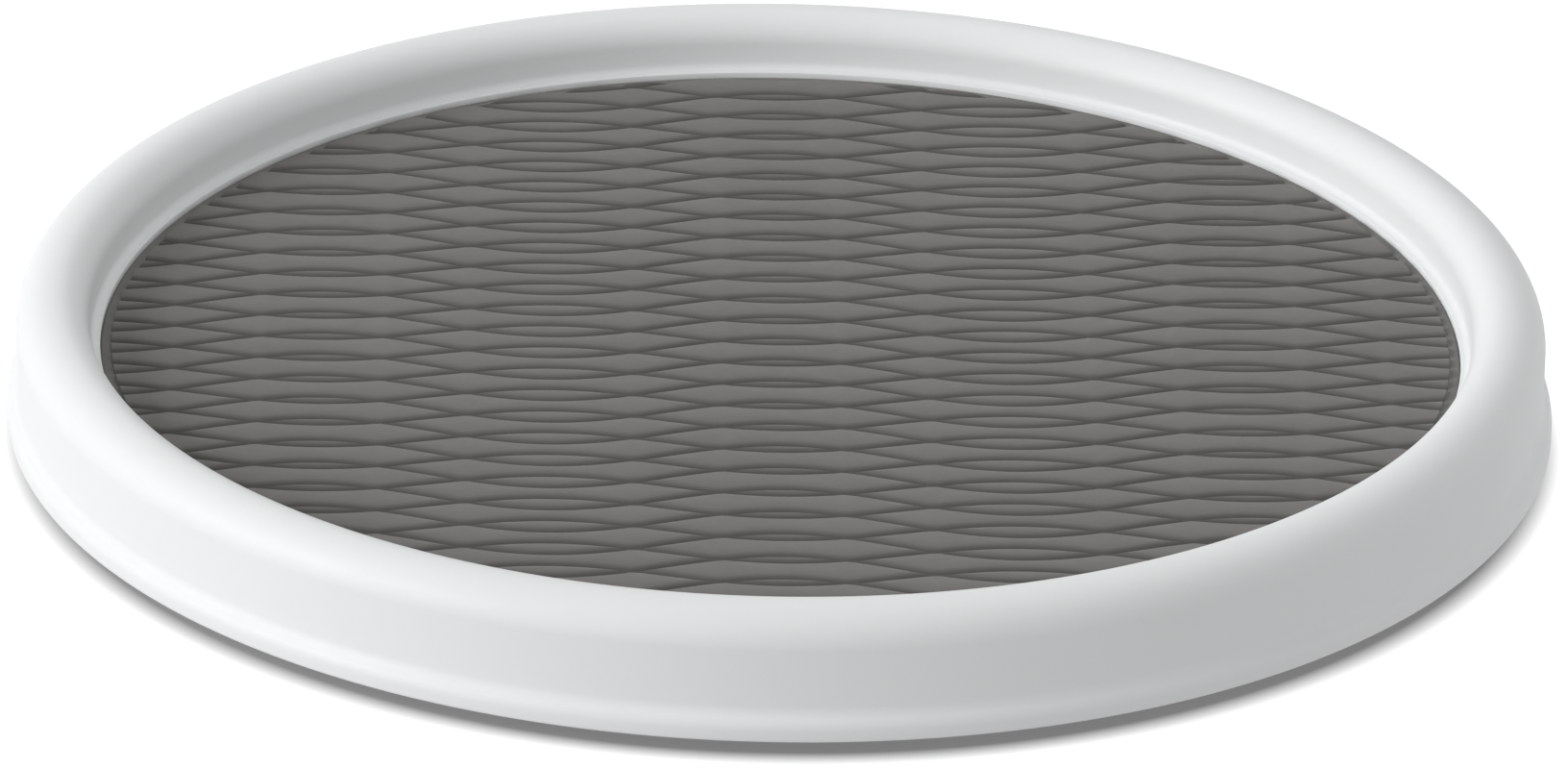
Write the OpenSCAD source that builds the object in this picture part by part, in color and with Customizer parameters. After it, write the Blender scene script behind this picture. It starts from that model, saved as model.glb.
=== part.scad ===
// Household turntable: a moulded tray with a raised rim and a non-skid mat, which turns on a
// ring of steel balls above a footed base disc.
//
// Frame: the origin lies on the table, below the middle of the pivot. +Z is up, and the tray
// turns about Z. Millimetres.

/* [Tray] */
// Diameter over the lip at the foot of the rim
tray_d = 301.2; // [296:0.2:330]
// Height of the rim's crest above the lip's lower edge
tray_h = 24.9; // [24.4:0.1:30]
// Gap between the lip's lower edge and the table
edge_gap = 4.5; // [4:0.1:7]
// Moulded wall thickness
wall = 2.2; // [1.8:0.1:2.6]

/* [Rim] */
// Height of the small lip at the foot of the rim
lip_h = 2.2; // [1.6:0.1:3]
// How far the lip stands out past the skirt
lip_proud = 1.8; // [1:0.1:2.4]
// Height of the S-shaped flare between the lip and the skirt
flare_h = 4.4; // [2:0.1:6]
// Distance from the lip's outer edge to the crest line
crest_inset = 9.8; // [8:0.1:11]
// Height that the outer side of the crest is rounded over
crest_drop_out = 7; // [5:0.1:9]
// Height that the inner side of the crest is rounded over
crest_drop_in = 6; // [4:0.1:7]
// Distance from the lip's outer edge to the inner wall of the rim
wall_inset = 16; // [14:0.1:16.2]
// How far the inner wall leans in towards its foot
wall_lean = 0.3; // [0:0.1:0.5]
// Radius of the fillet at the foot of the inner wall
wall_fillet = 1.6; // [1:0.1:1.8]

/* [Mat] */
// Depth of the mat's top below the crest
recess_depth = 11; // [10:0.1:12.5]
// Distance from the lip's outer edge to the edge of the mat
mat_inset = 18.3; // [18.1:0.1:24]
// Thickness of the mat
mat_t = 2; // [1:0.1:2.4]
// Gap between the mat and the seat that it lies in
mat_gap = 0.15; // [0.05:0.05:0.35]
// How far the ledge round the mat stands above it
ledge_proud = 0.2; // [0:0.1:0.6]

/* [Bearing] */
// Number of balls
ball_count = 16; // [8:1:24]
// Diameter of a ball
ball_d = 6; // [5:0.5:6]
// Radius of the circle that the balls run on
ball_circle_r = 75; // [60:1:76]
// Height of the balls' centres above the table
ball_z = 8; // [7.8:0.1:8.4]
// Gap between a ball and each race
ball_gap = 0.05; // [0.02:0.01:0.1]
// Radius of the groove in each race
groove_r = 3.2; // [3.1:0.05:3.6]
// Width of each raised race ring
race_w = 10; // [9:0.5:12]
// Thickness of the ball cage
cage_t = 2.4; // [1.6:0.1:2.6]

/* [Pivot] */
// Radius of the tray's centre post
post_r = 9; // [7:0.5:11]
// Radial gap between the post and the bore of the base
post_gap = 0.06; // [0.02:0.01:0.1]
// Height of the post's lower end above the table
post_end_z = 3.9; // [3.6:0.1:4.2]
// Radius of the washer under the post
washer_r = 12.4; // [12:0.1:13]
// Thickness of the washer
washer_t = 1; // [0.6:0.1:1.2]
// Radius of the screw's shank
screw_r = 2; // [1.5:0.1:2.5]
// Radius of the screw's head
screw_head_r = 4.2; // [3.6:0.1:5]
// Length of the screw under its head
screw_l = 8; // [6:0.5:9]

/* [Base] */
// Radius of the base disc
base_r = 95; // [93:1:105]
// Height of the base's lower edge above the table
base_z = 1.5; // [1:0.1:1.8]
// Height of the ribs under the base's plate
base_rib_h = 1.9; // [1.6:0.1:2.2]
// Thickness of the base's plate
base_plate_t = 2; // [1.6:0.1:2]
// Height of the base's outer rim above the table
base_rim_z = 8; // [6.5:0.1:9]
// Height of the top of the base's hub above the table
hub_z = 10; // [8:0.1:10.2]
// Radius of the base's hub
hub_r = 13.6; // [13.2:0.1:16]

/* [Feet] */
// Number of rubber feet
foot_count = 6; // [3:1:8]
// Radius of a foot
foot_r = 6.9; // [4:0.1:7]
// Radius of the circle that the feet stand on
foot_circle_r = 84; // [80:0.5:84]
// Depth of each foot in its socket
foot_socket = 1.2; // [0.8:0.1:1.6]

/* [Ribs] */
// Number of radial ribs under the tray, and under the base
rib_count = 12; // [6:1:24]
// Number of short ribs inside the hollow rim
rim_rib_count = 24; // [12:1:48]
// Thickness of a rib
rib_t = 1.6; // [1:0.1:2]

/* [Hidden] */
$fn = 180;
ARC_STEPS = 10;
EPS = 0.01;

// Tray, radially
lip_r = tray_d / 2;
skirt_r = lip_r - lip_proud;
crest_r = lip_r - crest_inset;
rim_wall_r = lip_r - wall_inset;
wall_foot_r = rim_wall_r - wall_lean;
seat_r = lip_r - mat_inset + mat_gap;
mat_r = lip_r - mat_inset;
lip_round = 0.5;

// The flare is two arcs that meet at its steepest point, tilted by flare_turn
flare_turn = 45;
flare_rx = lip_proud / (2 * (1 - cos(flare_turn)));
flare_rz = flare_h / (2 * sin(flare_turn));
flare_low_z = edge_gap + lip_h;
flare_top_z = flare_low_z + flare_h;

// Tray, upwards
crest_z = edge_gap + tray_h;
mat_z = crest_z - recess_depth;
seat_z = mat_z - mat_t;
floor_z = seat_z - wall;
ledge_z = mat_z + ledge_proud;

// Races and cage
race_gap = 1.8;
upper_race_z = ball_z + race_gap;
lower_race_z = ball_z - race_gap;
pocket_gap = 0.1;
cage_w = race_w + 1;

// Ribs under the tray: shallow above the base, deeper outside it
rib_shallow_h = 2.4;
rib_deep_h = 4.4;
rib_deep_r = base_r + 4;
tray_ring_ribs = [40, 112];
rim_rib_top = crest_z - 9.4;

// Pivot
bore_r = post_r + post_gap;
washer_gap = 0.1;
washer_hole_r = screw_r + 0.2;
pilot_r = screw_r + 0.05;
screw_head_h = 1.3;
screw_head_taper = 0.6;
cross_w = 0.9;
cross_l = 4.6;
cross_depth = 0.8;

// Base
plate_z = base_z + base_rib_h;
plate_top_z = plate_z + base_plate_t;
base_rim_t = 2.5;
recess_r = washer_r + 0.8;
collar_t = 2;
base_ring_ribs = [44, ball_circle_r];
foot_gap = 0.1;
foot_boss_t = 1.6;
foot_round = 0.5;

// Points along an arc of an ellipse about [x, z]
function arc(x, z, rx, rz, from, to) = [
    for (i = [0 : ARC_STEPS])
        let (a = from + (to - from) * i / ARC_STEPS) [x + rx * cos(a), z + rz * sin(a)]
];

// The flare from the lip up to the skirt, moved in by inset. Here and below, an arc that carries
// on from another starts one degree further on, so that no point comes twice.
function flare(inset) = concat(
    arc(lip_r - inset - flare_rx, flare_low_z, flare_rx, flare_rz, 0, flare_turn),
    arc(skirt_r - inset + flare_rx, flare_top_z, flare_rx, flare_rz, 179 + flare_turn, 180)
);

function reversed(points) = [for (i = [len(points) - 1 : -1 : 0]) points[i]];

// The rim's outer skin, from the lip up over the crest and down to the mat's seat
function rim_outside() = concat(
    arc(lip_r - lip_round, edge_gap + lip_round, lip_round, lip_round, -90, 0),
    flare(0),
    arc(crest_r, crest_z - crest_drop_out, skirt_r - crest_r, crest_drop_out, 0, 90),
    arc(crest_r, crest_z - crest_drop_in, crest_r - rim_wall_r, crest_drop_in, 91, 180),
    arc(wall_foot_r - wall_fillet, ledge_z + wall_fillet, wall_fillet, wall_fillet, 0, -90),
    [[seat_r, ledge_z], [seat_r, seat_z]]
);

// The rim's inner skin, from the tray's floor up through the hollow and down to the lip
function rim_inside() = concat(
    [[rim_wall_r + wall, floor_z]],
    arc(
        crest_r, crest_z - crest_drop_in, crest_r - rim_wall_r - wall, crest_drop_in - wall, 180, 91
    ),
    arc(
        crest_r, crest_z - crest_drop_out, skirt_r - crest_r - wall, crest_drop_out - wall, 90, 0
    ),
    reversed(flare(wall)),
    [[lip_r - wall, edge_gap]]
);

// Places copies round the Z axis, the first on the X axis
module around(count) {
    for (i = [0 : count - 1])
        rotate([0, 0, 360 * i / count])
            children();
}

module ring(inner, outer, low, high) {
    rotate_extrude()
        translate([inner, low])
            square([outer - inner, high - low]);
}

module tray_shell() {
    rotate_extrude()
        polygon(concat([[0, seat_z], [0, floor_z]], rim_inside(), rim_outside()));
}

// Radial rib on the X axis
module rib(inner, outer, low, high) {
    translate([inner, -rib_t / 2, low])
        cube([outer - inner, rib_t, high - low]);
}

module tray_ribs() {
    overlap = wall / 2;
    around(rib_count) {
        rib(post_r - 1, rim_wall_r + overlap, floor_z - rib_shallow_h, floor_z + overlap);
        rib(rib_deep_r, rim_wall_r + overlap, floor_z - rib_deep_h, floor_z + overlap);
    }
    around(rim_rib_count)
        rib(rim_wall_r + overlap, skirt_r - overlap, floor_z - rib_shallow_h, rim_rib_top);
    for (r = tray_ring_ribs)
        ring(r - rib_t / 2, r + rib_t / 2, floor_z - rib_shallow_h, floor_z + overlap);
}

module upper_race() {
    ring(ball_circle_r - race_w / 2, ball_circle_r + race_w / 2, upper_race_z, floor_z + EPS);
}

module race_groove(height) {
    rotate_extrude()
        translate([ball_circle_r, height])
            circle(r = groove_r);
}

module tray() {
    color("white")
        difference() {
            union() {
                tray_shell();
                tray_ribs();
                upper_race();
                translate([0, 0, post_end_z])
                    cylinder(r = post_r, h = seat_z - wall / 2 - post_end_z);
            }
            race_groove(ball_z + ball_d / 2 + ball_gap - groove_r);
            translate([0, 0, post_end_z - EPS])
                cylinder(r = pilot_r, h = screw_l + EPS);
        }
}

module non_skid_mat() {
    color("dimgray")
        translate([0, 0, seat_z])
            cylinder(r = mat_r, h = mat_t);
}

module base_plate() {
    ring(bore_r, base_r, plate_z, plate_top_z);
    ring(base_r - base_rim_t, base_r, base_z, base_rim_z);
    ring(bore_r, hub_r, plate_z, hub_z);
    ring(recess_r, recess_r + collar_t, base_z, plate_z + EPS);
    ring(
        ball_circle_r - race_w / 2, ball_circle_r + race_w / 2, plate_z, lower_race_z
    );
}

module base_ribs() {
    around(rib_count)
        rib(recess_r + collar_t / 2, base_r - base_rim_t / 2, base_z, plate_z + EPS);
    for (r = base_ring_ribs)
        ring(r - rib_t / 2, r + rib_t / 2, base_z, plate_z + EPS);
    around(foot_count)
        translate([foot_circle_r, 0, base_z])
            cylinder(r = foot_r + foot_gap + foot_boss_t, h = base_rib_h + EPS);
}

module base_disc() {
    color("gainsboro")
        difference() {
            union() {
                base_plate();
                base_ribs();
            }
            race_groove(ball_z - ball_d / 2 - ball_gap + groove_r);
            translate([0, 0, base_z])
                cylinder(r = recess_r, h = post_end_z + washer_gap - base_z);
            around(foot_count)
                translate([foot_circle_r, 0, base_z - EPS])
                    cylinder(r = foot_r + foot_gap, h = foot_socket + EPS);
        }
}

module ball_cage() {
    color("ivory")
        difference() {
            ring(
                ball_circle_r - cage_w / 2, ball_circle_r + cage_w / 2,
                ball_z - cage_t / 2, ball_z + cage_t / 2
            );
            around(ball_count)
                translate([ball_circle_r, 0, ball_z - cage_t])
                    cylinder(r = ball_d / 2 + pocket_gap, h = 2 * cage_t);
        }
}

module ball(i) {
    color("silver")
        rotate([0, 0, 360 * (i - 1) / ball_count])
            translate([ball_circle_r, 0, ball_z])
                sphere(d = ball_d);
}

module pivot_washer() {
    color("lightgray")
        ring(washer_hole_r, washer_r, post_end_z - washer_t, post_end_z);
}

module pivot_screw() {
    head_z = post_end_z - washer_t - screw_head_h;
    color("silver")
        difference() {
            union() {
                translate([0, 0, head_z])
                    cylinder(r1 = screw_head_r - screw_head_taper, r2 = screw_head_r, h = screw_head_h);
                translate([0, 0, head_z + screw_head_h / 2])
                    cylinder(r = screw_r, h = screw_l);
            }
            for (a = [0, 90])
                rotate([0, 0, a])
                    translate([-cross_l / 2, -cross_w / 2, head_z - EPS])
                        cube([cross_l, cross_w, cross_depth + EPS]);
        }
}

module foot(i) {
    top = base_z + foot_socket;
    color("gray")
        rotate([0, 0, 360 * (i - 1) / foot_count])
            translate([foot_circle_r, 0, 0])
                rotate_extrude()
                    polygon(concat(
                        [[0, top], [0, 0]],
                        arc(foot_r - foot_round, foot_round, foot_round, foot_round, -90, 0),
                        [[foot_r, top]]
                    ));
}

tray();
non_skid_mat();
base_disc();
ball_cage();
pivot_screw();
pivot_washer();
for (i = [1 : ball_count])
    ball(i);
for (i = [1 : foot_count])
    foot(i);
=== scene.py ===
"""Lazy susan turntable: a white moulded tray with a wave-ribbed rubber mat, turning on a ball
ring above a footed base disc. Metres, +Z up, the origin on the table under the pivot."""

from math import cos, pi, radians, sin

import bmesh
import bpy
import numpy as np
from mathutils import Matrix, Vector


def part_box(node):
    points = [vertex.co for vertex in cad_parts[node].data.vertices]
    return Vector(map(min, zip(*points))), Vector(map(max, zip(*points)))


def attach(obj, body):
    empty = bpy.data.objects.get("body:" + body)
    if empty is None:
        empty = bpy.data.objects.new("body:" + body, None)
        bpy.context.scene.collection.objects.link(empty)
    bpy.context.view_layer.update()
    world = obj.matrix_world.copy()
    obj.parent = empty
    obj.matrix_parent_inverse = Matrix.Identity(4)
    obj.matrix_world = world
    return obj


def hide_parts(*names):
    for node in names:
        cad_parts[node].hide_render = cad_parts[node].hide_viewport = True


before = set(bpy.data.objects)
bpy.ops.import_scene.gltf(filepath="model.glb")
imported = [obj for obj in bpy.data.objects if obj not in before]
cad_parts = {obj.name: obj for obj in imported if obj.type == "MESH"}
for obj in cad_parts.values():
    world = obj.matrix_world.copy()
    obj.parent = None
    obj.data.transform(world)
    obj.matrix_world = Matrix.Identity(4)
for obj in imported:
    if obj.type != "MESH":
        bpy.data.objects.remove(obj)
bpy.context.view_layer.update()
MM = 0.001

# ---------------------------------------------------------------------------------------------
# Sizes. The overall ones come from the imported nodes, the rest repeat the part's own dimensions.

TRAY_LOW, TRAY_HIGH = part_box("tray")
MAT_LOW, MAT_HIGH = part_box("non_skid_mat")
BASE_LOW, BASE_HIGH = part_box("base_disc")
WASHER_LOW, WASHER_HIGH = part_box("pivot_washer")
SCREW_LOW, SCREW_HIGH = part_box("pivot_screw")
FOOT_LOW, FOOT_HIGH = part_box("foot_1")
BALL_LOW, BALL_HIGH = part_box("ball_1")

LIP_R = TRAY_HIGH.x
CREST_Z = TRAY_HIGH.z
POST_END_Z = TRAY_LOW.z
MAT_R = MAT_HIGH.x
MAT_Z = MAT_HIGH.z
SEAT_Z = MAT_LOW.z
BALL_R = (BALL_HIGH.z - BALL_LOW.z) / 2
BALL_Z = (BALL_HIGH.z + BALL_LOW.z) / 2
BALL_CIRCLE_R = (BALL_HIGH.x + BALL_LOW.x) / 2
FOOT_CIRCLE_R = (FOOT_HIGH.x + FOOT_LOW.x) / 2
FOOT_R = (FOOT_HIGH.x - FOOT_LOW.x) / 2

EDGE_GAP = 4.5 * MM
WALL = 2.2 * MM
LIP_H = 2.2 * MM
LIP_PROUD = 1.8 * MM
LIP_ROUND = 0.5 * MM
FLARE_H = 4.4 * MM
FLARE_TURN = 45
CREST_INSET = 9.8 * MM
CREST_DROP_OUT = 7 * MM
CREST_DROP_IN = 6 * MM
WALL_INSET = 16 * MM
WALL_LEAN = 0.3 * MM
WALL_FILLET = 1.6 * MM
MAT_GAP = 0.15 * MM
LEDGE_PROUD = 0.2 * MM
LEDGE_ROUND = 0.2 * MM

GROOVE_R = 3.2 * MM
BALL_GAP = 0.05 * MM
RACE_W = 10 * MM
RACE_GAP = 1.8 * MM
RIB_T = 1.6 * MM
RIB_ROOT_GROW = 0.1 * MM
RIB_ROUND = 0.3 * MM
RIB_BITE = 0.5 * MM
RIB_COUNT = 12
RIM_RIB_COUNT = 24
RIB_SHALLOW_H = 2.4 * MM
RIB_DEEP_H = 4.4 * MM
TRAY_RING_RIBS = (40 * MM, 112 * MM)
RIM_RIB_DROP = 9.4 * MM
POST_R = 9 * MM
PILOT_R = 2.05 * MM
PILOT_DEPTH = 8 * MM

BORE_R = 9.06 * MM
PLATE_Z = 3.4 * MM
PLATE_T = 2 * MM
BASE_RIM_T = 2.5 * MM
BASE_RIM_Z = 8 * MM
HUB_R = 13.6 * MM
RECESS_R = 13.2 * MM
RECESS_TOP_Z = 4 * MM
COLLAR_T = 2 * MM
BASE_RING_RIB = 44 * MM
FOOT_COUNT = 6
FOOT_GAP = 0.1 * MM
FOOT_SOCKET = 1.2 * MM
FOOT_BOSS_T = 1.6 * MM

# The round marks that ejector pins leave: depth, then (radius, distance from the axis)
PIN_MARK_DEPTH = 0.15 * MM
TRAY_PIN_MARK = (3 * MM, 124 * MM)
BASE_PIN_MARK = (2.5 * MM, 60 * MM)

SKIRT_R = LIP_R - LIP_PROUD
CREST_R = LIP_R - CREST_INSET
RIM_WALL_R = LIP_R - WALL_INSET
WALL_FOOT_R = RIM_WALL_R - WALL_LEAN
FLOOR_Z = SEAT_Z - WALL
LEDGE_Z = MAT_Z + LEDGE_PROUD
BASE_R = BASE_HIGH.x
RIB_DEEP_R = BASE_R + 4 * MM
FLARE_RX = LIP_PROUD / (2 * (1 - cos(radians(FLARE_TURN))))
FLARE_RZ = FLARE_H / (2 * sin(radians(FLARE_TURN)))
FLARE_LOW_Z = EDGE_GAP + LIP_H
FLARE_TOP_Z = FLARE_LOW_Z + FLARE_H

# The mat's wave grooves: two families, as (middle, how far above it the wave is at x = 0)
WAVE_PITCH = 10 * MM
WAVE_LENGTH = 89.4 * MM
WAVES = ((3.95 * MM, -3.86 * MM), (7.85 * MM, 5.2 * MM))
WAVE_TURN = radians(0.96)
GROOVE_DEPTH = 0.85 * MM
GROOVE_HALF_W = 0.74 * MM
CROWN_DEPTH = 0.26 * MM
CROWN_REACH = 1.7 * MM
# Painted shade in the grooves: the colour is darkened to this share at their bottoms, fading out
# this far below the top.
GROOVE_SHADE = 0.42
GROOVE_SHADE_TOP = 0.05 * GROOVE_DEPTH
BORDER_DEPTH = 0.85 * MM
BORDER_W = 2.1 * MM
BORDER_FOOT = 0.25 * MM
BORDER_FLAT = 0.9 * MM
BORDER_ROUND = 0.35 * MM
SEAT_CHAMFER = 0.2 * MM
MAT_COLUMNS = 200
ROW_OFFSETS = np.array([0, 0.32, 0.64, 1.0, 1.6]) * MM
ROW_ROOM = 1.9 * MM

# The camera, from the photograph's own view
CAMERA_ELEVATION = radians(24.45)
CAMERA_ROLL = radians(1.08)
CAMERA_DISTANCE = 2.984
CAMERA_TARGET = Vector((0.0008, 0, EDGE_GAP + 0.0049))
SENSOR_W = 36
VIEW_W = 1632
FOCAL_PX = 15922

# The dome of light, as (height from -1 to 1, strength) steps
DOME_STEPS = ((-0.08, 0.41), (0.10, 0.89), (0.90, 0.47))

# The soft boxes, as (place, size, power): the key on the left, another above and behind
SOFT_BOXES = {
    "key": ((-5.10, -1.50, 2.62), (4.0, 3.0), 240),
    "top": ((1.15, 2.47, 4.19), (3.0, 3.0), 20),
}

# The floor glows with painted light of its own, and a painted shadow dims that glow under the
# tray's edge. It fades over an oval: the place is squeezed, then its distance is taken from the
# middle.
PAINTED_SHADOW_GLOW, GLOW_OUT = 0.12, 0.88
PAINTED_SHADOW_INNER_R = LIP_R - 5.3 * MM
PAINTED_SHADOW_OUTER_R = LIP_R - 0.1 * MM
PAINTED_SHADOW_MIDDLE = (0.5 * MM, 0, 0)
PAINTED_SHADOW_SQUEEZE = (0.990, 1, 1)
FLOOR_REACH = 8

ARC_STEPS = 12
LATHE_STEPS = 288


# ---------------------------------------------------------------------------------------------
# Camera, light and floor


def aim(obj, place, target, roll=0.0):
    """Puts obj at place, looking at target, turned by roll about its own line of sight."""
    look = Vector(place) - Vector(target)
    turn = look.to_track_quat("Z", "Y").to_matrix().to_4x4()
    obj.matrix_world = Matrix.Translation(place) @ turn @ Matrix.Rotation(roll, 4, "Z")


def make_camera():
    """The camera at the photograph's angle."""
    data = bpy.data.cameras.new("camera")
    data.sensor_width = SENSOR_W
    data.lens = FOCAL_PX / VIEW_W * SENSOR_W
    data.clip_end = 100
    camera = add_object("camera", data)
    back = Vector((0, -cos(CAMERA_ELEVATION), sin(CAMERA_ELEVATION)))
    aim(camera, CAMERA_TARGET + CAMERA_DISTANCE * back, CAMERA_TARGET, CAMERA_ROLL)
    bpy.context.scene.camera = camera


def soft_box(name, place, size, power):
    """A rectangular area light that faces the object."""
    data = bpy.data.lights.new(name, "AREA")
    data.shape = "RECTANGLE"
    data.size, data.size_y = size
    data.energy = power
    aim(add_object(name, data), Vector(place), Vector((0, 0, 0)))


def make_world():
    """A dome of light, dim below the horizon and brightest just above it."""
    world = bpy.data.worlds.new("studio")
    bpy.context.scene.world = world
    world.use_nodes = True
    nodes, links = world.node_tree.nodes, world.node_tree.links
    split = nodes.new("ShaderNodeSeparateXYZ")
    links.new(nodes.new("ShaderNodeTexCoord").outputs["Generated"], split.inputs["Vector"])
    share = nodes.new("ShaderNodeMapRange")
    share.inputs["From Min"].default_value = -1
    links.new(split.outputs["Z"], share.inputs["Value"])
    level = nodes.new("ShaderNodeValToRGB")
    steps = level.color_ramp.elements
    while len(steps) < len(DOME_STEPS):
        steps.new(1)
    for step, (height, strength) in zip(steps, DOME_STEPS, strict=True):
        step.position = (height + 1) / 2
        step.color = (strength, strength, strength, 1)
    links.new(share.outputs["Result"], level.inputs["Fac"])
    links.new(level.outputs["Color"], nodes["Background"].inputs["Strength"])
    nodes["Background"].inputs["Color"].default_value = (1, 1, 1, 1)


def make_studio():
    """The dome, the soft boxes and the floor."""
    bpy.context.scene.view_settings.view_transform = "Standard"
    make_world()
    for name, values in SOFT_BOXES.items():
        soft_box(name, *values)

    data = bpy.data.meshes.new("floor")
    signs = ((-1, -1), (1, -1), (1, 1), (-1, 1))
    corners = [(x * FLOOR_REACH, y * FLOOR_REACH, 0) for x, y in signs]
    data.from_pydata(corners, [], [(0, 1, 2, 3)])
    floor = add_object("floor", data)
    data.materials.append(floor_material())
    floor.visible_diffuse = False


# ---------------------------------------------------------------------------------------------
# Materials


class Shader:
    """A node material with one Principled shader, in the object's own coordinates."""

    def __init__(self, name, **values):
        self.material = bpy.data.materials.new(name)
        self.material.use_nodes = True
        self.nodes = self.material.node_tree.nodes
        self.links = self.material.node_tree.links
        self.surface = self.nodes["Principled BSDF"]
        self.place = self.nodes.new("ShaderNodeTexCoord").outputs["Object"]
        self.normal = None
        for socket, value in values.items():
            self.surface.inputs[socket.replace("_", " ")].default_value = value

    def noise(self, scale, detail=3, stretch=(1, 1, 1)):
        """Noise with this many features to the metre."""
        shift = self.nodes.new("ShaderNodeMapping")
        shift.inputs["Scale"].default_value = stretch
        self.links.new(self.place, shift.inputs["Vector"])
        node = self.nodes.new("ShaderNodeTexNoise")
        node.inputs["Scale"].default_value = scale
        node.inputs["Detail"].default_value = detail
        self.links.new(shift.outputs["Vector"], node.inputs["Vector"])
        return node.outputs["Fac"]

    def spread(self, source, low, high, start=0.3, end=0.7):
        """Carries source from start..end onto low..high."""
        node = self.nodes.new("ShaderNodeMapRange")
        for name, value in zip(
            ("From Min", "From Max", "To Min", "To Max"), (start, end, low, high), strict=True
        ):
            node.inputs[name].default_value = value
        self.links.new(source, node.inputs["Value"])
        return node.outputs["Result"]

    def colour(self, source, dark, light):
        """A base colour between dark and light."""
        mix = self.nodes.new("ShaderNodeMix")
        mix.data_type = "RGBA"
        mix.inputs["A"].default_value = (*dark, 1)
        mix.inputs["B"].default_value = (*light, 1)
        self.links.new(source, mix.inputs["Factor"])
        self.links.new(mix.outputs["Result"], self.surface.inputs["Base Color"])
        return mix

    def vector(self, operation, source, value=None):
        """A vector operation on source, and on a fixed value where it takes one."""
        node = self.nodes.new("ShaderNodeVectorMath")
        node.operation = operation
        self.links.new(source, node.inputs[0])
        if value is not None:
            node.inputs[1].default_value = value
        return node.outputs["Value" if operation in ("LENGTH", "DISTANCE") else "Vector"]

    def paint_shade_below(self, mix, low, high, least, radius):
        """Paints shade into a colour towards the bottom of a relief, from height high down to
        height low, but not beyond a radius from the axis."""
        split = self.nodes.new("ShaderNodeSeparateXYZ")
        self.links.new(self.place, split.inputs["Vector"])
        away = self.vector("LENGTH", self.vector("MULTIPLY", self.place, (1, 1, 0)))
        edge_w = 0.2 * MM
        dark = self.spread(split.outputs["Z"], least, 1, low, high)
        unshaded_beyond = self.spread(away, 0, 1, radius, radius + edge_w)
        largest = self.nodes.new("ShaderNodeMath")
        largest.operation = "MAXIMUM"
        self.links.new(dark, largest.inputs[0])
        self.links.new(unshaded_beyond, largest.inputs[1])
        # Painted shade: the colour is multiplied darker where the relief is low.
        painted_shade = self.nodes.new("ShaderNodeMix")
        painted_shade.data_type = "RGBA"
        painted_shade.blend_type = "MULTIPLY"
        painted_shade.inputs["Factor"].default_value = 1
        self.links.new(mix.outputs["Result"], painted_shade.inputs["A"])
        self.links.new(largest.outputs["Value"], painted_shade.inputs["B"])
        self.links.new(painted_shade.outputs["Result"], self.surface.inputs["Base Color"])

    def roughness(self, source):
        self.links.new(source, self.surface.inputs["Roughness"])

    def bump(self, source, height):
        """Adds relief of this height in metres to what is there already."""
        node = self.nodes.new("ShaderNodeBump")
        node.inputs["Strength"].default_value = 1
        node.inputs["Distance"].default_value = height
        self.links.new(source, node.inputs["Height"])
        if self.normal is not None:
            self.links.new(self.normal, node.inputs["Normal"])
        self.normal = node.outputs["Normal"]
        self.links.new(self.normal, self.surface.inputs["Normal"])


def floor_material():
    """A pale table that glows with painted light of its own, with a painted shadow where the glow
    fades under the tray.
    """
    shade = Shader("floor", Roughness=0.7)
    shade.colour(shade.noise(3), (0.24, 0.24, 0.24), (0.26, 0.26, 0.26))
    shade.surface.inputs["Emission Color"].default_value = (1, 1, 1, 1)
    narrowed = shade.vector("MULTIPLY", shade.place, PAINTED_SHADOW_SQUEEZE)
    away = shade.vector("DISTANCE", narrowed, PAINTED_SHADOW_MIDDLE)
    # Painted shadow: the glow is dimmed towards the tray's middle, by distance alone.
    painted_glow_and_shadow = shade.spread(away, PAINTED_SHADOW_GLOW, GLOW_OUT, PAINTED_SHADOW_INNER_R, PAINTED_SHADOW_OUTER_R)
    shade.links.new(painted_glow_and_shadow, shade.surface.inputs["Emission Strength"])
    return shade.material


def tray_material():
    """White polypropylene with a satin skin, faint flow marks and light handling marks."""
    shade = Shader("tray_plastic", IOR=1.49, Subsurface_Weight=0.12, Subsurface_Scale=0.002)
    shade.surface.inputs["Subsurface Radius"].default_value = (1.0, 0.95, 0.9)
    shade.surface.inputs["Specular IOR Level"].default_value = 0.4
    shade.colour(shade.noise(14), (0.760, 0.772, 0.778), (0.782, 0.792, 0.796))
    shade.roughness(shade.spread(shade.noise(60, detail=6), 0.45, 0.56))
    shade.bump(shade.noise(2600, detail=2), 0.000012)
    shade.bump(shade.noise(90, detail=3), 0.00003)
    shade.bump(shade.noise(700, detail=4, stretch=(1, 0.06, 1)), 0.000008)
    return shade.material


def mat_material():
    """Soft grey moulded rubber: a matt, slightly grainy skin, with painted shade darkening the
    bottoms of its grooves.
    """
    shade = Shader("mat_rubber", IOR=1.5, Sheen_Weight=0.12, Sheen_Roughness=0.5)
    shade.surface.inputs["Specular IOR Level"].default_value = 0.35
    skin = shade.colour(shade.noise(35, detail=6), (0.133, 0.129, 0.123), (0.158, 0.154, 0.147))
    # Painted shade darkens the colour towards the groove bottoms, though not on the border ring.
    low, high = MAT_Z - GROOVE_DEPTH, MAT_Z - GROOVE_SHADE_TOP
    shade.paint_shade_below(skin, low, high, GROOVE_SHADE, MAT_R - BORDER_W)
    shade.roughness(shade.spread(shade.noise(240, detail=5), 0.62, 0.82))
    shade.bump(shade.noise(3200, detail=3), 0.00004)
    return shade.material


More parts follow.
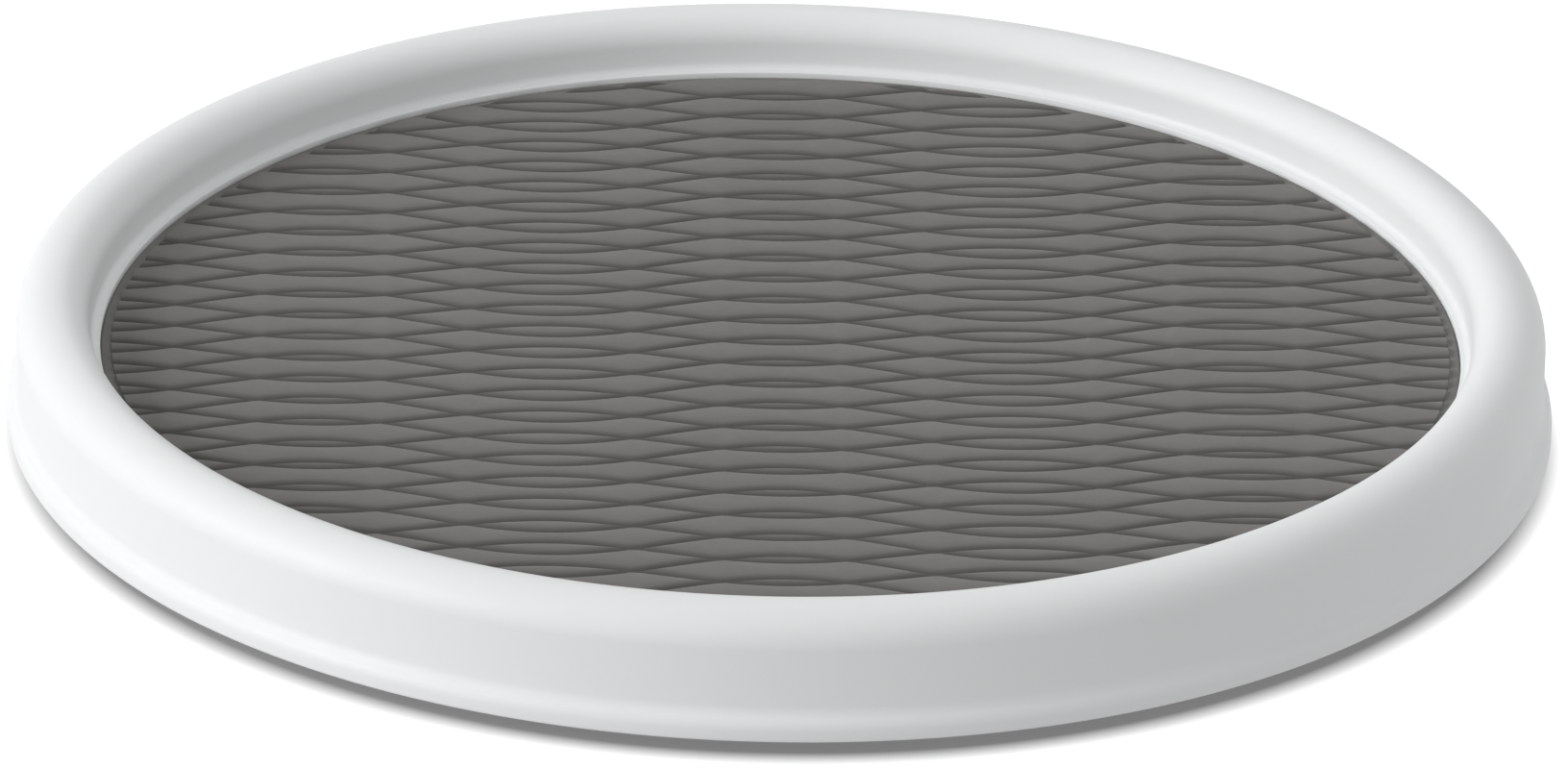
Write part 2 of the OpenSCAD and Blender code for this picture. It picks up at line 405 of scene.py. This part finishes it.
def base_material():
    """White polypropylene with a duller, spark-eroded skin on the hidden side."""
    shade = Shader("base_plastic", IOR=1.49)
    shade.colour(shade.noise(18), (0.76, 0.762, 0.755), (0.80, 0.80, 0.79))
    shade.roughness(shade.spread(shade.noise(80, detail=6), 0.48, 0.62))
    shade.bump(shade.noise(2200, detail=4), 0.00003)
    return shade.material


def cage_material():
    """Natural acetal: slightly waxy and translucent."""
    shade = Shader("cage_plastic", IOR=1.48, Subsurface_Weight=0.25, Subsurface_Scale=0.003)
    shade.colour(shade.noise(60), (0.70, 0.67, 0.58), (0.76, 0.73, 0.64))
    shade.roughness(shade.spread(shade.noise(400), 0.35, 0.5))
    shade.bump(shade.noise(1800), 0.00001)
    return shade.material


def ball_material():
    """Polished bearing steel."""
    shade = Shader("ball_steel", Metallic=1.0)
    shade.colour(shade.noise(300), (0.60, 0.60, 0.61), (0.70, 0.70, 0.71))
    shade.roughness(shade.spread(shade.noise(1500, detail=5), 0.06, 0.16))
    shade.bump(shade.noise(4000), 0.000001)
    return shade.material


def screw_material():
    """Bright zinc plate with faint turning marks."""
    shade = Shader("screw_steel", Metallic=1.0)
    shade.colour(shade.noise(500, detail=5), (0.50, 0.51, 0.52), (0.66, 0.66, 0.65))
    shade.roughness(shade.spread(shade.noise(900, detail=6), 0.22, 0.42))
    shade.bump(shade.noise(2500, detail=4), 0.000006)
    return shade.material


def foot_material():
    """Dark moulded rubber."""
    shade = Shader("foot_rubber", IOR=1.5, Sheen_Weight=0.1)
    shade.surface.inputs["Specular IOR Level"].default_value = 0.3
    shade.colour(shade.noise(200, detail=5), (0.045, 0.045, 0.047), (0.07, 0.07, 0.07))
    shade.roughness(shade.spread(shade.noise(900, detail=4), 0.6, 0.85))
    shade.bump(shade.noise(3500, detail=3), 0.00003)
    return shade.material


# ---------------------------------------------------------------------------------------------
# Mesh tools


def add_object(name, data):
    obj = bpy.data.objects.new(name, data)
    bpy.context.scene.collection.objects.link(obj)
    return obj


def from_bmesh(name, bm):
    bmesh.ops.recalc_face_normals(bm, faces=bm.faces)
    data = bpy.data.meshes.new(name)
    bm.to_mesh(data)
    bm.free()
    return add_object(name, data)


def arc(x, z, rx, rz, start, stop, steps=ARC_STEPS):
    """Points along an arc of an ellipse, angles in degrees."""
    turns = np.radians(np.linspace(start, stop, steps + 1))
    return [(x + rx * cos(a), z + rz * sin(a)) for a in turns]


def lathe(name, outline, steps=LATHE_STEPS):
    """Turns an outline of (radius, height) points about Z. An outline that starts and ends on
    the axis closes itself there, and any other is closed from its last point to its first."""
    bm = bmesh.new()
    on_axis = 1e-9
    angles = [2 * pi * i / steps for i in range(steps)]
    rings = []
    for radius, height in outline:
        if radius < on_axis:
            rings.append([bm.verts.new((0, 0, height))] * steps)
        else:
            rings.append([bm.verts.new((radius * cos(a), radius * sin(a), height)) for a in angles])
    pairs = list(zip(rings, rings[1:], strict=False))
    if outline[0][0] > on_axis:
        pairs.append((rings[-1], rings[0]))
    for lower, upper in pairs:
        for i in range(steps):
            j = (i + 1) % steps
            corners = [lower[i], lower[j], upper[j], upper[i]]
            kept = [v for k, v in enumerate(corners) if v not in corners[:k]]
            if len(kept) > 2:
                bm.faces.new(kept)
    return from_bmesh(name, bm)


def rib(inner, outer, low, high):
    """A rib along +X: a bar with a rounded lower edge whose root is a little thicker."""
    bm = bmesh.new()
    half = RIB_T / 2
    section = [(half + RIB_ROOT_GROW, high)]
    section += arc(half - RIB_ROUND, low + RIB_ROUND, RIB_ROUND, RIB_ROUND, 0, -90, 4)
    section += [(-y, z) for y, z in reversed(section)]
    ends = [[bm.verts.new((x, y, z)) for y, z in section] for x in (inner, outer)]
    count = len(section)
    for i in range(count):
        j = (i + 1) % count
        bm.faces.new([ends[0][i], ends[0][j], ends[1][j], ends[1][i]])
    bm.faces.new(ends[0])
    bm.faces.new(list(reversed(ends[1])))
    bmesh.ops.remove_doubles(bm, verts=bm.verts, dist=1e-7)
    return bm


def around(count, bm, name, offset=0.0):
    """count copies of a bmesh round the Z axis, as one object."""
    out = bmesh.new()
    part = bpy.data.meshes.new(name)
    bm.to_mesh(part)
    bm.free()
    for i in range(count):
        before = len(out.verts)
        out.from_mesh(part)
        out.verts.ensure_lookup_table()
        turn = Matrix.Rotation(offset + 2 * pi * i / count, 3, "Z")
        bmesh.ops.rotate(out, verts=out.verts[before:], cent=(0, 0, 0), matrix=turn)
    bpy.data.meshes.remove(part)
    return from_bmesh(name, out)


def disc(radius, low, high, out, steps=64):
    """A flat cylinder on +X, with its middle this far out."""
    bm = bmesh.new()
    bmesh.ops.create_cone(
        bm, cap_ends=True, segments=steps, radius1=radius, radius2=radius, depth=high - low
    )
    bmesh.ops.translate(bm, verts=bm.verts, vec=(out, 0, (low + high) / 2))
    return bm


def combine(target, tool, operation):
    """A boolean of two closed meshes, applied at once. The tool is used up."""
    boolean = target.modifiers.new("boolean", "BOOLEAN")
    boolean.operation = operation
    boolean.solver = "MANIFOLD"
    boolean.object = tool
    bpy.context.view_layer.update()
    graph = bpy.context.evaluated_depsgraph_get()
    result = bpy.data.meshes.new_from_object(target.evaluated_get(graph))
    target.modifiers.clear()
    old = target.data
    target.data = result
    bpy.data.meshes.remove(old)
    bpy.data.objects.remove(tool)


def finish_piece(obj, material, slot, body, *nodes, sharp=35):
    """Smooth shading with crisp edges, the material, the body it rides on, what it replaces."""
    obj.data.materials.clear()
    obj.data.materials.append(material)
    obj.data.polygons.foreach_set("use_smooth", [True] * len(obj.data.polygons))
    obj.data.set_sharp_from_angle(angle=radians(sharp))
    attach(obj, body)
    if nodes:
        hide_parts(*nodes)


# ---------------------------------------------------------------------------------------------
# The tray


def flare(inset=0.0):
    """The S-shaped flare from the lip up to the skirt, moved in by inset. The upper arc starts
    5 degrees on, so that the two don't share a point."""
    lip_x, skirt_x = LIP_R - inset - FLARE_RX, SKIRT_R - inset + FLARE_RX
    return (
        arc(lip_x, FLARE_LOW_Z, FLARE_RX, FLARE_RZ, 0, FLARE_TURN, 8)
        + arc(skirt_x, FLARE_TOP_Z, FLARE_RX, FLARE_RZ, 175 + FLARE_TURN, 180, 8)
    )


def rim_outside():
    """From the lip's lower edge up over the crest and down to the mat's seat."""
    lip_x, ledge_x = LIP_R - LIP_ROUND, MAT_R + MAT_GAP + LEDGE_ROUND
    return (
        arc(lip_x, EDGE_GAP + LIP_ROUND, LIP_ROUND, LIP_ROUND, -90, 0, 5)
        + flare()
        + arc(CREST_R, CREST_Z - CREST_DROP_OUT, SKIRT_R - CREST_R, CREST_DROP_OUT, 0, 90, 20)
        + arc(CREST_R, CREST_Z - CREST_DROP_IN, CREST_R - RIM_WALL_R, CREST_DROP_IN, 95, 180, 18)
        + arc(WALL_FOOT_R - WALL_FILLET, LEDGE_Z + WALL_FILLET, WALL_FILLET, WALL_FILLET, 0, -90, 8)
        + [(ledge_x, LEDGE_Z)]
        + arc(ledge_x, LEDGE_Z - LEDGE_ROUND, -LEDGE_ROUND, LEDGE_ROUND, 80, 0, 3)
        + [(MAT_R + MAT_GAP, SEAT_Z)]
    )


def ring_rib(radius, low, root):
    """A ring rib's outline on the underside at height root, walked outwards."""
    half, soft = RIB_T / 2, RIB_ROUND
    return (
        [(radius - half, root)]
        + arc(radius - half + soft, low + soft, soft, soft, 180, 270, 3)
        + arc(radius + half - soft, low + soft, soft, soft, 270, 360, 3)
        + [(radius + half, root)]
    )


def race_section(top):
    """The upper race ring's outline with its ball groove, walked outwards."""
    low = BALL_Z + RACE_GAP
    middle = BALL_Z + BALL_R + BALL_GAP - GROOVE_R
    spread = np.degrees(np.arcsin((low - middle) / GROOVE_R))
    soft = 0.3 * MM
    inner, outer = BALL_CIRCLE_R - RACE_W / 2, BALL_CIRCLE_R + RACE_W / 2
    return (
        [(inner, top)]
        + arc(inner + soft, low + soft, soft, soft, 180, 270, 3)
        + arc(BALL_CIRCLE_R, middle, GROOVE_R, GROOVE_R, 180 - spread, spread, 10)
        + arc(outer - soft, low + soft, soft, soft, 270, 360, 3)
        + [(outer, top)]
    )


def tray_underside():
    """From the axis out under the floor, up through the hollow rim and down to the lip."""
    hollow_r = RIM_WALL_R + WALL
    shallow = FLOOR_Z - RIB_SHALLOW_H
    inner_x, outer_x = CREST_R - hollow_r, SKIRT_R - CREST_R - WALL
    chamfer, post_round, root_fillet, rim_fillet = 0.3 * MM, 0.5 * MM, 1 * MM, 0.8 * MM
    post_x, root_x, rim_x = POST_R - post_round, POST_R + root_fillet, hollow_r - rim_fillet
    return (
        [
            (0, POST_END_Z + PILOT_DEPTH),
            (PILOT_R, POST_END_Z + PILOT_DEPTH),
            (PILOT_R, POST_END_Z + chamfer),
            (PILOT_R + chamfer, POST_END_Z),
        ]
        + arc(post_x, POST_END_Z + post_round, post_round, post_round, -90, 0, 4)
        + arc(root_x, FLOOR_Z - root_fillet, -root_fillet, root_fillet, 0, 90, 5)
        + ring_rib(TRAY_RING_RIBS[0], shallow, FLOOR_Z)
        + race_section(FLOOR_Z)
        + ring_rib(TRAY_RING_RIBS[1], shallow, FLOOR_Z)
        + arc(rim_x, FLOOR_Z + rim_fillet, rim_fillet, rim_fillet, -90, 0, 5)
        + arc(CREST_R, CREST_Z - CREST_DROP_IN, inner_x, CREST_DROP_IN - WALL, 180, 95, 8)
        + arc(CREST_R, CREST_Z - CREST_DROP_OUT, outer_x, CREST_DROP_OUT - WALL, 90, 0, 12)
        + flare(WALL)[::-1]
        + [(LIP_R - WALL, EDGE_GAP + chamfer), (LIP_R - WALL + chamfer, EDGE_GAP)]
    )


def make_tray():
    """The moulding, its ribs and its pin marks. Each rib runs a little into what it meets."""
    tray = lathe("tray_moulding", tray_underside() + rim_outside() + [(0, SEAT_Z)])
    bite, overlap = WALL / 2, 1 * MM
    shallow, deep = FLOOR_Z - RIB_SHALLOW_H, FLOOR_Z - RIB_DEEP_H
    race_in = BALL_CIRCLE_R - RACE_W / 2 + overlap
    race_out = BALL_CIRCLE_R + RACE_W / 2 - overlap
    rim_in, rim_out = RIM_WALL_R + bite, SKIRT_R - bite
    root = FLOOR_Z + bite
    ribs = {
        "inner_rib": (RIB_COUNT, POST_R - overlap, race_in, shallow, root),
        "outer_rib": (RIB_COUNT, race_out, RIB_DEEP_R + overlap, shallow, root),
        "deep_rib": (RIB_COUNT, RIB_DEEP_R, rim_in, deep, root),
        "rim_rib": (RIM_RIB_COUNT, rim_in, rim_out, shallow, CREST_Z - RIM_RIB_DROP),
    }
    for name, (count, *sizes) in ribs.items():
        combine(tray, around(count, rib(*sizes), name), "UNION")
    mark_r, out = TRAY_PIN_MARK
    mark = disc(mark_r, FLOOR_Z - overlap, FLOOR_Z + PIN_MARK_DEPTH, out)
    combine(tray, around(RIB_COUNT, mark, "pin_marks", pi / RIB_COUNT), "DIFFERENCE")
    finish_piece(tray, tray_material(), "tray_plastic", "turntable", "tray")


# ---------------------------------------------------------------------------------------------
# The mat


def groove_lines(x):
    """Where the grooves of both families cross x, as y from low to high."""
    swing = cos(2 * pi * x / WAVE_LENGTH)
    reach = int(MAT_R / WAVE_PITCH) + 3
    steps = WAVE_PITCH * np.arange(-reach, reach + 1)
    return np.sort(np.concatenate([steps + middle + height * swing for middle, height in WAVES]))


def mat_height(x, y):
    """The mat's top at (x, y) in the waves' own directions: grooves between crowned strands."""
    angle = 2 * pi * x / WAVE_LENGTH
    depth = np.zeros_like(y)
    nearest = np.full_like(y, WAVE_PITCH)
    for middle, height in WAVES:
        slope = height * 2 * pi / WAVE_LENGTH * np.sin(angle)
        away = y - middle - height * np.cos(angle)
        away = np.abs(away - WAVE_PITCH * np.round(away / WAVE_PITCH))
        away = away / np.sqrt(1 + slope**2)
        nearest = np.minimum(nearest, away)
        depth = np.maximum(depth, np.exp(-((away / GROOVE_HALF_W) ** 2)))
    crown = np.exp(-nearest / CROWN_REACH)
    return MAT_Z - GROOVE_DEPTH * depth - CROWN_DEPTH * crown * (1 - depth)


def row_heights(x):
    """Rows of points up the mat at x: close together by each groove, one on each strand."""
    lines = groove_lines(x)
    rows = []
    for low, high in zip(lines, lines[1:], strict=False):
        half = (high - low) / 2
        squeeze = min(1, half / ROW_ROOM)
        rows += list(low + ROW_OFFSETS * squeeze)
        rows.append(low + half)
        rows += list(high - ROW_OFFSETS[:0:-1] * squeeze)
    return np.array(rows)


def make_mat():
    """The wave relief as a grid of columns across the mat, cut round by the border ring."""
    border_r = MAT_R - BORDER_W
    turns = -pi / 2 + (np.arange(MAT_COLUMNS) + 0.5) * pi / MAT_COLUMNS
    across, chord = border_r * np.sin(turns), border_r * np.cos(turns)
    rows = np.array([row_heights(x) for x in across])

    places, index = [], {}

    def point(key, x, y):
        """The number of the grid point or cut with this key, made once."""
        if key not in index:
            index[key] = len(places)
            places.append((x, y))
        return index[key]

    def trim(corners, side, i):
        """Cuts a cell at the border's edge on one side. Corners hold key, x, y and room left."""
        out = []
        for k, (key, x, y, room) in enumerate(corners):
            key2, x2, y2, room2 = corners[(k + 1) % len(corners)]
            if room >= 0:
                out.append((key, x, y))
            if (room >= 0) != (room2 >= 0):
                share = room / (room - room2)
                if x == x2:
                    column = i if x == across[i] else i + 1
                    cut = ("end", side, column)
                else:
                    cut = ("row", side, i, key[2] if key[0] == "grid" else key2[2])
                out.append((cut, x + share * (x2 - x), y + share * (y2 - y)))
        return out

    faces = []
    for i in range(MAT_COLUMNS - 1):
        for r in range(rows.shape[1] - 1):
            cell = [(i, r), (i + 1, r), (i + 1, r + 1), (i, r + 1)]
            heights = [rows[c, q] for c, q in cell]
            room = [chord[c] - abs(y) for (c, _), y in zip(cell, heights, strict=True)]
            if max(room) < 0:
                continue
            corners = [
                (("grid", c, q), across[c], y, left)
                for (c, q), y, left in zip(cell, heights, room, strict=True)
            ]
            if min(room) < 0:
                side = "top" if heights[0] > 0 else "bottom"
                corners = trim(corners, side, i)
            face = [point(key, x, y) for key, x, y, *_ in corners]
            face = [v for k, v in enumerate(face) if v != face[k - 1]]
            if len(face) > 2:
                faces.append(face)

    flat = np.array(places)
    heights = mat_height(flat[:, 0], flat[:, 1])
    bm = bmesh.new()
    verts = [bm.verts.new((x, y, z)) for (x, y), z in zip(flat, heights, strict=True)]
    for face in faces:
        bm.faces.new([verts[v] for v in face])
    edge = sorted(
        {v for e in bm.edges if e.is_boundary for v in e.verts},
        key=lambda v: np.arctan2(v.co.y, v.co.x),
    )
    sunk = MAT_Z - BORDER_DEPTH
    border = [(border_r + BORDER_FOOT, sunk), (border_r + BORDER_FLAT, sunk)]
    border += arc(MAT_R - BORDER_ROUND, sunk - BORDER_ROUND, BORDER_ROUND, BORDER_ROUND, 90, 0, 4)
    border += [(MAT_R, SEAT_Z + SEAT_CHAMFER), (MAT_R - SEAT_CHAMFER, SEAT_Z)]
    loop = edge
    for radius, height in border:
        ring = []
        for v in edge:
            grow = radius / v.co.xy.length
            ring.append(bm.verts.new((v.co.x * grow, v.co.y * grow, height)))
        for k in range(len(loop)):
            j = (k + 1) % len(loop)
            bm.faces.new([loop[k], loop[j], ring[j], ring[k]])
        loop = ring
    bm.faces.new(loop)
    bmesh.ops.rotate(
        bm, verts=bm.verts, cent=(0, 0, 0), matrix=Matrix.Rotation(WAVE_TURN, 3, "Z")
    )
    mat = from_bmesh("mat_relief", bm)
    finish_piece(mat, mat_material(), "mat_rubber", "turntable", "non_skid_mat", sharp=60)


# ---------------------------------------------------------------------------------------------
# The base, its feet and the pivot


def base_outline():
    """The base's section, walked round clockwise from the top of the bore."""
    soft, race_soft, bore_chamfer = 0.4 * MM, 0.2 * MM, 0.3 * MM
    fillet, rim_round = 1 * MM, 0.8 * MM
    rim_z = BASE_RIM_Z - rim_round
    plate_top = PLATE_Z + PLATE_T
    race_low, race_mid = BALL_Z - RACE_GAP, BALL_Z - BALL_R - BALL_GAP + GROOVE_R
    spread = np.degrees(np.arcsin((race_mid - race_low) / GROOVE_R))
    inner, outer = BALL_CIRCLE_R - RACE_W / 2, BALL_CIRCLE_R + RACE_W / 2
    rim_in = BASE_R - BASE_RIM_T
    top = (
        arc(BORE_R + soft, BASE_HIGH.z - soft, soft, soft, 180, 90, 4)
        + arc(HUB_R - soft, BASE_HIGH.z - soft, soft, soft, 90, 0, 4)
        + arc(HUB_R + fillet, plate_top + fillet, -fillet, -fillet, 0, 90, 5)
        + [(inner, plate_top)]
        + arc(inner + race_soft, race_low - race_soft, race_soft, race_soft, 180, 90, 3)
        + arc(BALL_CIRCLE_R, race_mid, GROOVE_R, GROOVE_R, 180 + spread, 360 - spread, 10)
        + arc(outer - race_soft, race_low - race_soft, race_soft, race_soft, 90, 0, 3)
        + [(outer, plate_top)]
        + arc(rim_in - fillet, plate_top + fillet, fillet, fillet, -90, 0, 5)
        + arc(rim_in + rim_round, rim_z, rim_round, rim_round, 180, 90, 5)
        + arc(BASE_R - rim_round, rim_z, rim_round, rim_round, 90, 0, 5)
    )
    collar_out = RECESS_R + COLLAR_T
    bottom = (
        arc(BASE_R - soft, BASE_LOW.z + soft, soft, soft, 0, -90, 4)
        + arc(rim_in + soft, BASE_LOW.z + soft, soft, soft, -90, -180, 4)
        + [(rim_in, PLATE_Z)]
        + [(x, z) for x, z in reversed(ring_rib(BALL_CIRCLE_R, BASE_LOW.z, PLATE_Z))]
        + [(x, z) for x, z in reversed(ring_rib(BASE_RING_RIB, BASE_LOW.z, PLATE_Z))]
        + [(collar_out, PLATE_Z)]
        + arc(collar_out - soft, BASE_LOW.z + soft, soft, soft, 0, -90, 4)
        + arc(RECESS_R + soft, BASE_LOW.z + soft, soft, soft, -90, -180, 4)
        + [(RECESS_R, RECESS_TOP_Z), (BORE_R + bore_chamfer, RECESS_TOP_Z)]
        + [(BORE_R, RECESS_TOP_Z + bore_chamfer)]
    )
    return top + bottom


def make_base():
    """The base moulding with its ribs, foot bosses, foot sockets and pin marks."""
    base = lathe("base_moulding", base_outline())
    low, high, below = BASE_LOW.z, PLATE_Z + RIB_BITE, 1 * MM
    spoke = rib(RECESS_R + COLLAR_T / 2, BASE_R - BASE_RIM_T / 2, low, high)
    combine(base, around(RIB_COUNT, spoke, "ribs"), "UNION")
    socket_r = FOOT_R + FOOT_GAP
    boss = disc(socket_r + FOOT_BOSS_T, low, high, FOOT_CIRCLE_R, 96)
    combine(base, around(FOOT_COUNT, boss, "bosses"), "UNION")
    socket = disc(socket_r, low - below, low + FOOT_SOCKET, FOOT_CIRCLE_R, 96)
    combine(base, around(FOOT_COUNT, socket, "sockets"), "DIFFERENCE")
    mark_r, out = BASE_PIN_MARK
    mark = disc(mark_r, PLATE_Z - below, PLATE_Z + PIN_MARK_DEPTH, out)
    combine(base, around(FOOT_COUNT, mark, "pin_marks", pi / RIB_COUNT), "DIFFERENCE")
    finish_piece(base, base_material(), "base_plastic", "base", "base_disc")


def make_feet():
    """Rubber pads with two grip grooves in the face that they stand on."""
    top = FOOT_HIGH.z
    soft, chamfer = 0.6 * MM, 0.2 * MM
    groove_w, groove_d = 0.35 * MM, 0.4 * MM
    groove_radii = (2.4 * MM, 4.4 * MM)
    outline = [(0, 0)]
    for radius in groove_radii:
        outline += [(radius - groove_w, 0)]
        outline += arc(radius, 0, groove_w, groove_d, 165, 15, 5)
        outline += [(radius + groove_w, 0)]
    outline += arc(FOOT_R - soft, soft, soft, soft, -90, 0, 6)
    outline += [(FOOT_R, top - chamfer), (FOOT_R - chamfer, top), (0, top)]
    material = foot_material()
    for i in range(FOOT_COUNT):
        name = f"foot_{i + 1}"
        pad = lathe(f"{name}_pad", outline, 96)
        low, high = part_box(name)
        pad.data.transform(Matrix.Translation(((low.x + high.x) / 2, (low.y + high.y) / 2, 0)))
        finish_piece(pad, material, "foot_rubber", "base", name)


def make_washer():
    """A flat steel washer with eased edges, the outer lower one more so."""
    soft, hole = 0.15 * MM, 2.2 * MM
    low, high, outer = WASHER_LOW.z, WASHER_HIGH.z, WASHER_HIGH.x
    outline = (
        arc(hole + soft, low + soft, soft, soft, 180, 270, 3)
        + arc(outer - 2 * soft, low + 2 * soft, 2 * soft, 2 * soft, 270, 360, 4)
        + arc(outer - soft, high - soft, soft, soft, 0, 90, 3)
        + arc(hole + soft, high - soft, soft, soft, 90, 180, 3)
    )
    washer = lathe("washer_disc", outline, 128)
    finish_piece(washer, screw_material(), "screw_steel", "turntable", "pivot_washer")


def make_screw():
    """A domed cross-recess screw with a rolled thread."""
    head_r, head_h, dome_w, head_edge = SCREW_HIGH.x, 1.3 * MM, 1.1 * MM, 0.15 * MM
    shank_r, core_r, pitch, plain_shank = 2.0 * MM, 1.55 * MM, 1.1 * MM, 0.4 * MM
    root_w, thread_top, end_room, tip_r = 0.6 * pitch, 0.8 * pitch, 1.2 * pitch, core_r * 0.5
    under = SCREW_LOW.z + head_h
    outline = [(0, SCREW_LOW.z)]
    outline += arc(head_r - dome_w, under - head_edge, dome_w, head_h - head_edge, -90, 0, 8)
    outline += [(head_r, under), (shank_r, under)]
    height = under + plain_shank
    while height < SCREW_HIGH.z - end_room:
        outline += [(core_r, height), (core_r, height + root_w)]
        outline += [(shank_r, height + thread_top)]
        height += pitch
    outline += [(core_r, height), (tip_r, SCREW_HIGH.z), (0, SCREW_HIGH.z)]
    screw = lathe("screw_body", outline, 96)
    arms = bmesh.new()
    arm_size, taper_x, taper_y = (4.6 * MM, 0.9 * MM, 1.6 * MM), 0.45, 0.6
    for angle in (0, pi / 2):
        bmesh.ops.create_cube(arms, size=1)
        fresh = arms.verts[-8:]
        bmesh.ops.scale(arms, vec=arm_size, verts=fresh)
        for v in fresh:
            if v.co.z > 0:
                v.co.x *= taper_x
                v.co.y *= taper_y
        bmesh.ops.rotate(arms, verts=fresh, cent=(0, 0, 0), matrix=Matrix.Rotation(angle, 3, "Z"))
    cross_z = SCREW_LOW.z + 0.1 * MM
    bmesh.ops.translate(arms, verts=arms.verts, vec=(0, 0, cross_z))
    combine(screw, from_bmesh("cross", arms), "DIFFERENCE")
    finish_piece(screw, screw_material(), "screw_steel", "turntable", "pivot_screw", sharp=30)


def dress_bearing():
    """The cage and the balls keep their CAD shape and take their own materials."""
    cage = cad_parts["ball_cage"]
    cage.data.materials.clear()
    cage.data.materials.append(cage_material())
    steel = ball_material()
    for name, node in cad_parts.items():
        if name.startswith("ball_") and name != "ball_cage":
            node.data.materials.clear()
            node.data.materials.append(steel)


make_camera()
make_studio()
make_tray()
make_mat()
make_base()
make_feet()
make_washer()
make_screw()
dress_bearing()
